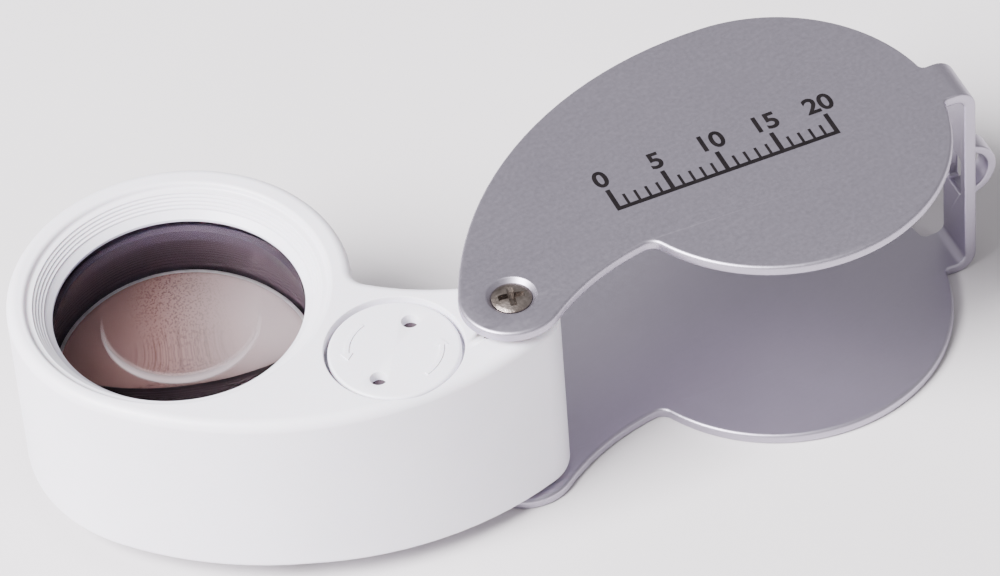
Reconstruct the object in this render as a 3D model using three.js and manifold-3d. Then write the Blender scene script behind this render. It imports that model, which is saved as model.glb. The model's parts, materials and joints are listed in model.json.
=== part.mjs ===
// Folding hand lens with a lit eyepiece: a U-shaped sheet metal cover and a white plastic
// lens body that swings out of it on two pivot screws.
// Units are millimetres, +Z is up. The origin is the centre of the cover's round end, on its
// underside. +X runs from the pivot towards the round end.
import * as THREE from "three";
import { mergeVertices } from "three/addons/utils/BufferGeometryUtils.js";
import Module from "manifold-3d";

const wasm = await Module();
wasm.setup();

const DEG = Math.PI / 180;
const GAP = 0.3;

// How far a cutting solid runs past the face that it opens, and the number of flats of round pieces.
const PAST = 1;
const FINE = 40;
const MEDIUM = 28;
const COARSE = 16;
const ARC_STEP = 10.5;

// Outlines of the cover plates and of the lens body, seen from above. Each is one closed chain of
// five tangent arcs: tail, back, round head, corner and waist, with the pivot at (0, 0).
const COVER = {
  headX: 27.6,
  headR: 15.05,
  tailR: 4.4,
  backR: 32.6,
  waistR: 22,
  waistY: 2.45,
  cornerR: 1.2,
};
const BODY = {
  headX: 27.85,
  headR: 14.35,
  tailR: 3.85,
  backR: 32.15,
  waistR: 22.4,
  waistY: 2.1,
  cornerR: 1.5,
};
const OPEN_ANGLE = 133.6;

// Heights above the surface that the cover lies on.
const COVER_H = 21.2;
const SHEET_T = 1.05;
const SHEET_EDGE_R = 0.3;
const BODY_TOP = 19.475;
const BODY_BASE = 2.4;
const BASE_PLATE_Z = 1.725;
const TOP_EDGE_R = 0.95;
const BASE_EDGE_R = 0.6;
const WALL = 1.3;
const TOP_WALL_Z = 18;

// Web that joins the two plates, with the lug pressed out of it.
const WEB = { angle: -14.8, width: 4.4, outer: 17.85, bendR: 1.9, rootR: 0.5 };
const WEB_OVERLAP = 2;
const WEB_SEGMENTS = 3;
const LUG_SEGMENTS = 7;
const LUG = { radius: 2.93, centre: 0.43, thick: 0.8, width: 2, z: 10.4, windowH: 4.3, windowW: 2.5 };

// Pivot.
const PIVOT = { sinkR: 2.07, holeR: 1.35, headR: 1.72, rim: 0.28, shankR: 0.95, screwL: 5.6 };
const PIVOT_CROWN = { r: 1.03, low: 0.12, high: 0.08 };
const PIVOT_CROSS = { length: 2.13, width: 0.36, depth: 0.55 };
const INSERT = { outer: 1.75, length: 4.4, play: 0.1, sunk: 0.05 };
const BOSS_R = 2.7;
const WASHER = { inner: 1.4, thick: 0.4 };
const CONTACT_WASHER = { outer: 3.4, up: 0.15 };
const FRICTION_WASHER = { outer: 2.25, up: 0.12 };

// The lower edge of the body comes down towards its tail, to run close over the cover's lower plate.
const SKIRT = { fromX: 16, toX: -3.85, drop: 1.05, height: 1 };

// Optics, on one vertical axis in the head of the body.
const LENS = { x: 27.95, y: 0.33, seeR: 10.5, edgeZ: 17.3, lipZ: 17.05, mouthR: 12.65 };
const MOUTH_EDGE = { run: 0.2, drop: 0.3 };
const BARREL = { outer: 12.1, inner: 11.1, base: 3.35, top: 16.8, sleeve: 13.4, play: 0.2 };
const EYE_LENS = { r: 10.95, low: 14.35, high: 16.75, lowSag: 1.36, highSag: 2.07 };
const FIELD_LENS = { r: 10.9, low: 5.05, high: 6.75, highSag: 1 };
const SPACER_INNER = 10.1;
const RING = { inner: 9.4, play: 0.1, slotL: 1.6, slotW: 1, slotH: 1 };
const BASE_EYE_R = 10.3;
const STEPS = { r: 11.1, z: 17.85, run: 0.22, rise: 0.23, count: 5, tread: 0.75 };

// Battery compartment under the turning cap.
const BATTERY = { x: 9, y: 5.1, seatR: 5.8, seatZ: 18.05, wellR: 5, wellZ: 8.5, floorZ: 7.9, wallR: 6.1 };
const CAP = { r: 5.5, z: 18.25, top: 19.25, edge: 0.25, holeR: 0.82, holeAt: 3.4, holeDepth: 0.7 };
const CAP_HOLE_ANGLES = [-103, 77];
const CAP_CONTACT = { inner: 1, outer: 3.4, thick: 0.25, gap: 0.05 };
const CELL = { r: 4.75, thick: 2.6, pitch: 2.7, base: 9.65, rimR: 3.9, rimH: 0.25, count: 3 };
const SPRING = { turns: 2.2, wireR: 0.16, lowR: 3.6, highR: 1.4, gap: 0.06, perTurn: 8, steps: 36, sides: 6 };
const SIDE_CONTACT = { thick: 0.25, width: 2.2, inset: 0.12, foot: 0.1, head: 0.4 };
const SIDE_SLOT = { thick: 1.1, width: 2.8, rise: 1 };

// Lamps, board and the screws of the base plate.
const LED = { r: 1.5, flangeR: 1.85, tipZ: 2.1, flangeZ: 5.9, topZ: 6.7, reach: 15.55, dome: 0.999 };
const LED_ANGLES = { led_waist_side: 4, led_back_side: 33 };
const BOARD = { low: 6.95, high: 7.7, fromX: 6.3, toX: 18 };
const BASE_SCREWS = { base_screw_head: [17.2, 12], base_screw_tail: [4.4, 1.8] };
const SCREW = { headR: 1.15, headZ: 1.85, headH: 0.5, shankR: 0.6, tipZ: 7, bossR: 1.6, pilotR: 0.85 };
const SCREW_EDGE = { r: 0.92, rise: 0.2 };
const SCREW_CROSS = { length: 1.6, width: 0.3, depth: 0.5 };
const SEAT_PLAY = 0.1;
const PLATE = { play: 0.2, rise: 0.8, recess: 0.85 };
const SWITCH = { x: 1.65, y: 2.85, width: 1, thick: 0.3, low: 13.6, tip: 19.5, footL: 0.9, slotH: 4 };
const WIRE = { r: 0.4, steps: 14, sides: 6 };

// From the pivot insert down to the board.
const SWITCH_WIRE_PATH = [[1.4, 3.9, 13], [1.3, 4.1, 10], [1.6, 4, 7.6], [3.2, 4.3, 6.4], [5.8, 5, 6.4]];

// From the side contact of the cells up to the switch leaf.
const BATTERY_WIRE_PATH = [[2.3, 4.3, 13], [2.4, 4.5, 10], [2.3, 4.6, 8.4], [3, 5.3, 7], [5.6, 7, 6.9]];

// ---------- solids ----------

function toSolid(source) {
  const bare = source.clone();
  bare.deleteAttribute("normal");
  bare.deleteAttribute("uv");
  const merged = mergeVertices(bare);
  const index = merged.index.array;
  const kept = [];
  for (let i = 0; i < index.length; i += 3) {
    const [a, b, c] = [index[i], index[i + 1], index[i + 2]];
    if (a !== b && b !== c && c !== a) kept.push(a, b, c);
  }
  return new wasm.Manifold(new wasm.Mesh({
    numProp: 3,
    vertProperties: new Float32Array(merged.attributes.position.array),
    triVerts: new Uint32Array(kept),
  }));
}

function toGeometry(solid) {
  const data = solid.getMesh();
  const geometry = new THREE.BufferGeometry();
  const points = new Float32Array(data.numVert * 3);
  for (let i = 0; i < data.numVert; i++) {
    for (let k = 0; k < 3; k++) points[3 * i + k] = data.vertProperties[data.numProp * i + k];
  }
  geometry.setAttribute("position", new THREE.BufferAttribute(points, 3));
  geometry.setIndex(new THREE.BufferAttribute(new Uint32Array(data.triVerts), 1));
  geometry.computeVertexNormals();
  return geometry;
}

const join = (first, ...rest) => rest.reduce((sum, next) => sum.add(next), first);
const cut = (first, ...rest) => rest.reduce((left, next) => left.subtract(next), first);

// A prism between two heights, with its edges rounded by edgeR at both ends.
function prismGeometry(shape, low, high, edgeR) {
  const geometry = new THREE.ExtrudeGeometry(shape, {
    depth: high - low - 2 * edgeR,
    bevelEnabled: edgeR > 0,
    bevelSize: edgeR,
    bevelThickness: edgeR,
    bevelOffset: -edgeR,
    bevelSegments: 2,
  });
  geometry.translate(0, 0, low + edgeR);
  return geometry;
}

const prism = (shape, low, high, edgeR = 0) => toSolid(prismGeometry(shape, low, high, edgeR));

// A body turned about a vertical axis at (x, y); profile points are [radius, height], listed
// counter-clockwise.
function turned(profile, x = 0, y = 0, segments = FINE) {
  const closed = profile[0][0] > 0;
  const points = profile.map(([r, z]) => new THREE.Vector2(r, z));
  if (closed) points.push(points[0].clone());
  const geometry = new THREE.LatheGeometry(points, segments);
  geometry.rotateX(Math.PI / 2);
  geometry.translate(x, y, 0);
  return toSolid(geometry);
}

function cylinder(radius, low, high, x = 0, y = 0, segments = MEDIUM) {
  return turned([[0, low], [radius, low], [radius, high], [0, high]], x, y, segments);
}

function tube(inner, outer, low, high, x = 0, y = 0, segments = FINE) {
  return turned([[inner, low], [outer, low], [outer, high], [inner, high]], x, y, segments);
}

function box(lengthX, lengthY, lengthZ, x, y, z) {
  const geometry = new THREE.BoxGeometry(lengthX, lengthY, lengthZ);
  geometry.translate(x, y, z);
  return toSolid(geometry);
}

// ---------- outline ----------

const angleOf = (x, y) => Math.atan2(y, x);

// Adds an arc to a list of points, turning from start to end the way that turn (+1 or -1) says.
function addArc(points, x, y, r, start, end, turn) {
  const full = 2 * Math.PI;
  const sweep = (((end - start) * turn) % full + full) % full;
  const count = Math.max(2, Math.ceil(sweep / (ARC_STEP * DEG)));
  for (let i = 0; i < count; i++) {
    const angle = start + (turn * sweep * i) / count;
    points.push(new THREE.Vector2(x + r * Math.cos(angle), y + r * Math.sin(angle)));
  }
}

// The closed outline of a cover plate or of the lens body, moved inwards by inset.
function outline({ headX, headR, tailR, backR, waistR, waistY, cornerR }, inset = 0) {
  const backToTail = backR - tailR;
  const backToHead = backR - headR;
  const backX = (backToTail ** 2 - backToHead ** 2 + headX ** 2) / (2 * headX);
  const backY = -Math.sqrt(backToTail ** 2 - backX ** 2);
  const waistCY = -(waistY + waistR);
  const waistCX = Math.sqrt((tailR + waistR) ** 2 - waistCY ** 2);

  // The corner arc touches the waist arc from inside and the head from outside.
  const fromWaist = waistR - cornerR;
  const fromHead = headR + cornerR;
  const dx = headX - waistCX;
  const dy = -waistCY;
  const span = Math.hypot(dx, dy);
  const along = (fromWaist ** 2 - fromHead ** 2 + span ** 2) / (2 * span);
  const across = Math.sqrt(fromWaist ** 2 - along ** 2);
  const cornerX = waistCX + (along * dx - across * dy) / span;
  const cornerY = waistCY + (along * dy + across * dx) / span;

  const tailStart = angleOf(waistCX, waistCY);
  const cornerStart = angleOf(cornerX - waistCX, cornerY - waistCY);
  const headStart = angleOf(cornerX - headX, cornerY);
  const backStart = angleOf(headX - backX, -backY);
  const backEnd = angleOf(-backX, -backY);
  const points = [];
  addArc(points, waistCX, waistCY, waistR + inset, tailStart + Math.PI, cornerStart, -1);
  addArc(points, cornerX, cornerY, cornerR + inset, cornerStart, headStart + Math.PI, -1);
  addArc(points, headX, 0, headR - inset, headStart, backStart, 1);
  addArc(points, backX, backY, backR - inset, backStart, backEnd, 1);
  addArc(points, 0, 0, tailR - inset, backEnd, tailStart, 1);
  return new THREE.Shape(points);
}

// ---------- cover ----------

// Turns a shape drawn in (distance from the head centre, height) into a strip of the web.
function webStrip(shape, width, curveSegments = WEB_SEGMENTS) {
  const geometry = new THREE.ExtrudeGeometry(shape, { depth: width, bevelEnabled: false, curveSegments });
  geometry.rotateX(Math.PI / 2);
  geometry.translate(0, width / 2, 0);
  geometry.rotateZ(WEB.angle * DEG);
  geometry.translate(COVER.headX, 0, 0);
  return toSolid(geometry);
}

function webProfile() {
  const { outer, bendR } = WEB;
  const start = COVER.headR - WEB_OVERLAP;
  const bendX = outer - bendR;
  const innerR = bendR - SHEET_T;
  const shape = new THREE.Shape();
  shape.moveTo(start, 0);
  shape.absarc(bendX, bendR, bendR, -Math.PI / 2, 0, false);
  shape.absarc(bendX, COVER_H - bendR, bendR, 0, Math.PI / 2, false);
  shape.lineTo(start, COVER_H);
  shape.lineTo(start, COVER_H - SHEET_T);
  shape.absarc(bendX, COVER_H - bendR, innerR, Math.PI / 2, 0, true);
  shape.absarc(bendX, bendR, innerR, 0, -Math.PI / 2, true);
  shape.lineTo(start, SHEET_T);
  shape.closePath();
  return shape;
}

// The part of a plate where it narrows into the web, with a round corner on each side.
function webRoot() {
  const { width, rootR, angle } = WEB;
  const side = width / 2;
  const reach = Math.sqrt((COVER.headR + rootR) ** 2 - (side + rootR) ** 2);
  const towardsHead = angleOf(-reach, -(side + rootR));
  const shape = new THREE.Shape();
  shape.moveTo(COVER.headR - WEB_OVERLAP, -side);
  shape.absarc(reach, -(side + rootR), rootR, -towardsHead, Math.PI / 2, true);
  shape.absarc(reach, side + rootR, rootR, -Math.PI / 2, towardsHead, true);
  shape.lineTo(COVER.headR - WEB_OVERLAP, side);
  shape.closePath();
  return (z) => {
    const settings = { depth: SHEET_T, bevelEnabled: false, curveSegments: WEB_SEGMENTS };
    const geometry = new THREE.ExtrudeGeometry(shape, settings);
    geometry.rotateZ(angle * DEG);
    geometry.translate(COVER.headX, 0, z);
    return toSolid(geometry);
  };
}

function lugArch(radius) {
  const centre = WEB.outer - LUG.centre;
  const face = Math.acos((LUG.centre - SHEET_T) / radius);
  const shape = new THREE.Shape();
  shape.absarc(centre, LUG.z, radius, -face, face, false);
  shape.closePath();
  return shape;
}

function windowShape() {
  const shape = new THREE.Shape();
  const low = LUG.z - LUG.windowH / 2;
  const inner = WEB.outer - 2 * SHEET_T;
  const outer = WEB.outer + SHEET_T;
  shape.moveTo(inner, low);
  shape.lineTo(outer, low);
  shape.lineTo(outer, low + LUG.windowH);
  shape.lineTo(inner, low + LUG.windowH);
  shape.closePath();
  return shape;
}

// Countersunk hole for a pivot screw; side is +1 for the top plate and -1 for the lower plate.
function pivotHole(side) {
  const face = side > 0 ? COVER_H : 0;
  const sink = PIVOT.sinkR - PIVOT.holeR;
  const z = (depth) => face - side * depth;
  const profile = [
    [0, z(SHEET_T + PAST)],
    [PIVOT.holeR, z(SHEET_T + PAST)],
    [PIVOT.holeR, z(sink)],
    [PIVOT.sinkR, z(0)],
    [PIVOT.sinkR, z(-PAST)],
    [0, z(-PAST)],
  ];
  return turned(side > 0 ? profile : profile.reverse(), 0, 0, MEDIUM);
}

function foldingCover() {
  const root = webRoot();
  const plates = join(
    prism(outline(COVER), 0, SHEET_T, SHEET_EDGE_R),
    prism(outline(COVER), COVER_H - SHEET_T, COVER_H, SHEET_EDGE_R),
    root(0),
    root(COVER_H - SHEET_T),
    webStrip(webProfile(), WEB.width),
  );
  const arch = cut(
    webStrip(lugArch(LUG.radius), LUG.width, LUG_SEGMENTS),
    webStrip(lugArch(LUG.radius - LUG.thick), LUG.width + PAST, LUG_SEGMENTS),
  );
  return join(
    cut(plates, webStrip(windowShape(), LUG.windowW), pivotHole(1), pivotHole(-1)),
    arch,
  );
}

// ---------- pivot ----------

function pivotScrew(side) {
  const face = side > 0 ? COVER_H : 0;
  const z = (depth) => face - side * depth;
  const { headR, rim, shankR, screwL } = PIVOT;
  const { length, width, depth } = PIVOT_CROSS;
  const profile = [
    [0, z(screwL)],
    [shankR, z(screwL)],
    [shankR, z(rim + headR - shankR)],
    [headR, z(rim)],
    [PIVOT_CROWN.r, z(PIVOT_CROWN.low)],
    [0, z(PIVOT_CROWN.high)],
  ];
  return cut(
    turned(side > 0 ? profile : profile.reverse(), 0, 0, MEDIUM),
    box(length, width, depth, 0, 0, z(depth / 2)),
    box(width, length, depth, 0, 0, z(depth / 2)),
  );
}

function pivotInsert(low) {
  return tube(PIVOT.shankR + GAP, INSERT.outer, low, low + INSERT.length, 0, 0, COARSE);
}

const washer = (outer, low) => tube(WASHER.inner, outer, low, low + WASHER.thick, 0, 0, MEDIUM);

// ---------- lens body ----------

// Mouth of the eyepiece: a small lip round the lens, a smooth slope, fine steps and a round edge.
function eyeMouth() {
  const { seeR, edgeZ, lipZ, mouthR, x, y } = LENS;
  const profile = [[0, lipZ - PAST], [seeR, lipZ - PAST], [seeR, edgeZ]];
  for (let i = 0; i < STEPS.count; i++) {
    const r = STEPS.r + i * STEPS.run;
    const z = STEPS.z + i * STEPS.rise;
    profile.push([r, z], [r, z + STEPS.rise * STEPS.tread]);
  }
  profile.push([mouthR - MOUTH_EDGE.run, BODY_TOP - MOUTH_EDGE.drop], [mouthR, BODY_TOP]);
  profile.push([mouthR, BODY_TOP + PAST], [0, BODY_TOP + PAST]);
  return turned(profile, x, y);
}

// The hollow of the shell, left open at the base and closed round the barrel, the battery well, the
// pivot boss and the screw bosses.
function shellHollow() {
  const high = TOP_WALL_Z + PAST;
  const bosses = Object.values(BASE_SCREWS).map(([x, y]) => cylinder(SCREW.bossR, 0, high, x, y, COARSE));
  return cut(
    prism(outline(BODY, WALL), BASE_PLATE_Z - PAST, TOP_WALL_Z),
    cylinder(BARREL.sleeve, 0, high, LENS.x, LENS.y, FINE),
    cylinder(BATTERY.wallR, BATTERY.floorZ, high, BATTERY.x, BATTERY.y),
    cylinder(BOSS_R, 0, high),
    ...bosses,
  );
}

function switchSlot() {
  const { thick, width, slotH, x, y } = SWITCH;
  return box(thick + 2 * GAP, width + 2 * GAP, slotH, x, y, TOP_WALL_Z);
}

function sideContactSlot() {
  const { x, y, wellR, seatZ, wellZ } = BATTERY;
  const { thick, width, rise } = SIDE_SLOT;
  return box(thick, width, seatZ - wellZ + rise, x - wellR, y, (seatZ + wellZ) / 2);
}

// The full height of the body with its lower edge brought down towards the tail.
function skirtedBlock(past) {
  const geometry = prismGeometry(outline(BODY), BODY_BASE, BODY_TOP + past, BASE_EDGE_R);
  const points = geometry.attributes.position;
  for (let i = 0; i < points.count; i++) {
    const along = (SKIRT.fromX - points.getX(i)) / (SKIRT.fromX - SKIRT.toX);
    const drop = SKIRT.drop * Math.min(1, Math.max(0, along));
    if (points.getZ(i) < BODY_BASE + SKIRT.height) points.setZ(i, points.getZ(i) - drop);
  }
  return toSolid(geometry);
}

function bodyShell() {
  const past = TOP_EDGE_R + BASE_EDGE_R + PAST;
  const block = prism(outline(BODY), BODY_BASE - past, BODY_TOP, TOP_EDGE_R).intersect(skirtedBlock(past));
  const pilots = Object.values(BASE_SCREWS).map(([x, y]) => (
    cylinder(SCREW.pilotR, 0, SCREW.tipZ + GAP, x, y, COARSE)
  ));
  const hollow = cut(
    block,
    prism(outline(BODY, WALL), 0, BODY_BASE + PLATE.recess),
    shellHollow(),
    cylinder(BARREL.outer + BARREL.play, 0, LENS.lipZ, LENS.x, LENS.y, FINE),
    eyeMouth(),
  );
  return cut(
    join(hollow, cylinder(BOSS_R, BASE_PLATE_Z, TOP_WALL_Z)),
    cylinder(BATTERY.wellR, BATTERY.wellZ, BODY_TOP, BATTERY.x, BATTERY.y),
    cylinder(BATTERY.seatR, BATTERY.seatZ, BODY_TOP + PAST, BATTERY.x, BATTERY.y, FINE),
    sideContactSlot(),
    cylinder(INSERT.outer + INSERT.play, 0, BODY_TOP + PAST, 0, 0, COARSE),
    switchSlot(),
    ...pilots,
  );
}

function basePlate() {
  const high = BODY_BASE + PLATE.rise;
  const holes = [];
  for (const [x, y] of Object.values(BASE_SCREWS)) {
    holes.push(cylinder(SCREW.shankR + GAP, 0, high + PAST, x, y, COARSE));
    holes.push(cylinder(SCREW.headR + GAP, 0, SCREW.headZ + SCREW.headH + SEAT_PLAY, x, y, COARSE));
  }
  for (const angle of Object.values(LED_ANGLES)) {
    const [x, y] = ledPlace(angle);
    holes.push(cylinder(LED.r + GAP, 0, high + PAST, x, y, COARSE));
  }
  return cut(
    prism(outline(BODY, WALL + PLATE.play), BASE_PLATE_Z, high),
    cylinder(BOSS_R + PLATE.play, 0, high + PAST),
    cylinder(BASE_EYE_R, 0, high + PAST, LENS.x, LENS.y, FINE),
    ...holes,
  );
}

function baseScrew([x, y]) {
  const { headR, headZ, headH, shankR, tipZ } = SCREW;
  const { length, width, depth } = SCREW_CROSS;
  const profile = [
    [0, headZ],
    [SCREW_EDGE.r, headZ],
    [headR, headZ + SCREW_EDGE.rise],
    [headR, headZ + headH],
    [shankR, headZ + headH],
    [shankR, tipZ - shankR],
    [0, tipZ],
  ];
  return cut(
    turned(profile, x, y, COARSE),
    box(length, width, depth, x, y, headZ),
    box(width, length, depth, x, y, headZ),
  );
}

// ---------- optics ----------

// Points of a spherical lens face from the axis to its edge, for a face that bulges by sag.
function domePoints(radius, edgeZ, sag, count = 5) {
  const curveR = (radius ** 2 + sag ** 2) / (2 * Math.abs(sag));
  const points = [];
  for (let i = 0; i <= count; i++) {
    const r = (radius * i) / count;
    const drop = curveR - Math.sqrt(curveR ** 2 - r ** 2);
    points.push([r, edgeZ + sag - Math.sign(sag) * drop]);
  }
  return points;
}

function eyeLens() {
  const { r, low, high, lowSag, highSag } = EYE_LENS;
  const profile = [...domePoints(r, low, -lowSag), ...domePoints(r, high, highSag).reverse()];
  return turned(profile, LENS.x, LENS.y);
}

function fieldLens() {
  const { r, low, high, highSag } = FIELD_LENS;
  return turned([[0, low], [r, low], ...domePoints(r, high, highSag).reverse()], LENS.x, LENS.y);
}

function lensBarrel() {
  const { outer, inner, base, top } = BARREL;
  return tube(inner, outer, base, top, LENS.x, LENS.y);
}

function lensSpacer() {
  const low = FIELD_LENS.high + GAP;
  const high = EYE_LENS.low - GAP;
  return tube(SPACER_INNER, EYE_LENS.r, low, high, LENS.x, LENS.y);
}

function retainingRing() {
  const { inner, play, slotL, slotW, slotH } = RING;
  const low = BARREL.base + play;
  const ring = tube(inner, FIELD_LENS.r, low, FIELD_LENS.low - play, LENS.x, LENS.y);
  const middle = (inner + FIELD_LENS.r) / 2;
  const slots = [-1, 1].map((side) => box(slotL, slotW, slotH, LENS.x + side * middle, LENS.y, low));
  return cut(ring, ...slots);
}

// ---------- battery compartment ----------

function batteryCap() {
  const { r, z, top, edge, holeR, holeAt, holeDepth } = CAP;
  const { x, y } = BATTERY;
  const disc = turned([[0, z], [r, z], [r, top - edge], [r - edge, top], [0, top]], x, y);
  const holes = CAP_HOLE_ANGLES.map((angle) => {
    const hx = x + holeAt * Math.cos(angle * DEG);
    const hy = y + holeAt * Math.sin(angle * DEG);
    return cylinder(holeR, top - holeDepth, top + PAST, hx, hy, COARSE);
  });
  return cut(disc, ...holes);
}

function capContact() {
  const { inner, outer, thick, gap } = CAP_CONTACT;
  const high = CAP.z - gap;
  return tube(inner, outer, high - thick, high, BATTERY.x, BATTERY.y, MEDIUM);
}

function coinCell(level) {
  const { r, thick, pitch, base, rimR, rimH } = CELL;
  const low = base + level * pitch;
  const profile = [
    [0, low],
    [rimR, low],
    [rimR, low + rimH],
    [r, low + rimH],
    [r, low + thick],
    [0, low + thick],
  ];
  return turned(profile, BATTERY.x, BATTERY.y, MEDIUM);
}

// Round wire bent along a smooth curve through the given points.
function wire(points, radius, steps, sides) {
  const section = new THREE.Shape();
  section.absarc(0, 0, radius, 0, 2 * Math.PI, false);
  const path = new THREE.CatmullRomCurve3(points.map(([x, y, z]) => new THREE.Vector3(x, y, z)));
  return toSolid(new THREE.ExtrudeGeometry(section, { steps, extrudePath: path, curveSegments: sides / 2 }));
}

function batterySpring() {
  const { turns, wireR, lowR, highR, gap, perTurn, steps, sides } = SPRING;
  const low = BATTERY.wellZ + wireR + gap;
  const high = CELL.base - wireR - gap;
  const points = [];
  const count = Math.round(turns * perTurn);
  for (let i = 0; i <= count; i++) {
    const k = i / count;
    const angle = turns * 2 * Math.PI * k;
    const r = lowR + (highR - lowR) * k;
    const z = low + (high - low) * k;
    points.push([BATTERY.x + r * Math.cos(angle), BATTERY.y + r * Math.sin(angle), z]);
  }
  return wire(points, wireR, steps, sides);
}

// Spring strip beside the cells that links the cap's contact to the board.
function sideContact() {
  const { thick, width, inset, foot, head } = SIDE_CONTACT;
  const x = BATTERY.x - BATTERY.wellR - inset;
  const low = BATTERY.wellZ + foot;
  const high = BATTERY.seatZ - head;
  return box(thick, width, high - low, x, BATTERY.y, (low + high) / 2);
}

// ---------- lamps, board, switch and wires ----------

function ledPlace(angle) {
  const a = angle * DEG;
  return [LENS.x - LED.reach * Math.cos(a), LENS.y + LED.reach * Math.sin(a)];
}

function led(angle) {
  const [x, y] = ledPlace(angle);
  const profile = [
    ...domePoints(LED.r, LED.tipZ + LED.r, -LED.r * LED.dome),
    [LED.r, LED.flangeZ],
    [LED.flangeR, LED.flangeZ],
    [LED.flangeR, LED.topZ],
    [0, LED.topZ],
  ];
  return turned(profile, x, y, COARSE);
}

function ledBoard() {
  const { low, high, fromX, toX } = BOARD;
  const [screwX, screwY] = BASE_SCREWS.base_screw_head;
  const span = box(toX - fromX, BODY.backR, BODY_TOP, (fromX + toX) / 2, 0, low);
  return cut(
    prism(outline(BODY, WALL + GAP), low, high).intersect(span),
    cylinder(BARREL.sleeve + GAP, 0, BODY_TOP, LENS.x, LENS.y, FINE),
    cylinder(SCREW.bossR + GAP, 0, BODY_TOP, screwX, screwY, COARSE),
  );
}

function switchLeaf() {
  const { x, y, width, thick, low, tip, footL } = SWITCH;
  const upright = box(thick, width, tip - low, x, y, (tip + low) / 2);
  const foot = box(footL, width, thick, x + (footL - thick) / 2, y, low + thick / 2);
  return join(upright, foot);
}

// ---------- materials ----------

const finish = (color, roughness, metalness) => () => (
  new THREE.MeshStandardMaterial({ color, roughness, metalness })
);
const satinAluminium = finish(0x9c97a5, 0.42, 0.9);
const steel = finish(0x8b8079, 0.3, 1);
const brass = finish(0xb08d4a, 0.35, 1);
const whitePlastic = finish(0xe6e4ee, 0.45, 0);
const blackPlastic = finish(0x1d191c, 0.5, 0);
const nylon = finish(0xd9d6cc, 0.6, 0);
const glass = finish(0xcfd6dc, 0.05, 0);
const epoxy = finish(0xeef4f7, 0.15, 0);
const boardGreen = finish(0x1f6b3a, 0.5, 0);
const nickel = finish(0xb9b7b2, 0.3, 1);
const wireRed = finish(0xb3201c, 0.5, 0);
const wireBlack = finish(0x222222, 0.5, 0);

// ---------- assembly ----------

function piece(parent, name, solid, material) {
  const mesh = new THREE.Mesh(toGeometry(solid), material());
  mesh.name = name;
  parent.add(mesh);
}

function buildCover() {
  const cover = new THREE.Group();
  cover.position.set(-COVER.headX, 0, 0);
  piece(cover, "folding_cover", foldingCover(), satinAluminium);
  piece(cover, "contact_washer", washer(CONTACT_WASHER.outer, BODY_TOP + CONTACT_WASHER.up), brass);
  return cover;
}

function buildPivot(body) {
  piece(body, "pivot_screw_top", pivotScrew(1), steel);
  piece(body, "pivot_screw_bottom", pivotScrew(-1), steel);
  piece(body, "pivot_insert_top", pivotInsert(BODY_TOP - INSERT.length - INSERT.sunk), brass);
  piece(body, "pivot_insert_bottom", pivotInsert(BASE_PLATE_Z + INSERT.sunk), brass);
  piece(body, "friction_washer", washer(FRICTION_WASHER.outer, SHEET_T + FRICTION_WASHER.up), nylon);
}

function buildOptics(body) {
  piece(body, "lens_barrel", lensBarrel(), blackPlastic);
  piece(body, "eye_lens", eyeLens(), glass);
  piece(body, "lens_spacer", lensSpacer(), blackPlastic);
  piece(body, "field_lens", fieldLens(), glass);
  piece(body, "lens_retaining_ring", retainingRing(), blackPlastic);
}

function buildElectrics(body) {
  for (let level = 0; level < CELL.count; level++) {
    piece(body, `coin_cell_${level + 1}`, coinCell(level), nickel);
  }
  piece(body, "battery_spring", batterySpring(), nickel);
  piece(body, "battery_side_contact", sideContact(), brass);
  for (const [name, angle] of Object.entries(LED_ANGLES)) piece(body, name, led(angle), epoxy);
  piece(body, "led_board", ledBoard(), boardGreen);
  piece(body, "switch_leaf", switchLeaf(), brass);
  piece(body, "switch_wire", wire(SWITCH_WIRE_PATH, WIRE.r, WIRE.steps, WIRE.sides), wireBlack);
  piece(body, "battery_wire", wire(BATTERY_WIRE_PATH, WIRE.r, WIRE.steps, WIRE.sides), wireRed);
}

function buildBody() {
  const body = new THREE.Group();
  body.position.set(-COVER.headX, 0, 0);
  body.rotation.z = OPEN_ANGLE * DEG;
  piece(body, "body_shell", bodyShell(), whitePlastic);
  piece(body, "base_plate", basePlate(), whitePlastic);
  for (const [name, place] of Object.entries(BASE_SCREWS)) piece(body, name, baseScrew(place), steel);
  buildPivot(body);
  buildOptics(body);
  piece(body, "battery_cap", batteryCap(), whitePlastic);
  piece(body, "cap_contact", capContact(), brass);
  buildElectrics(body);
  return body;
}

const handLens = new THREE.Group();
handLens.add(buildCover(), buildBody());

export default handLens;
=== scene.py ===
"""Looks of the folding hand lens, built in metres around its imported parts."""

import json
import math

import bmesh
import bpy
from mathutils import Matrix, Vector
from mathutils.geometry import tessellate_polygon


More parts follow.
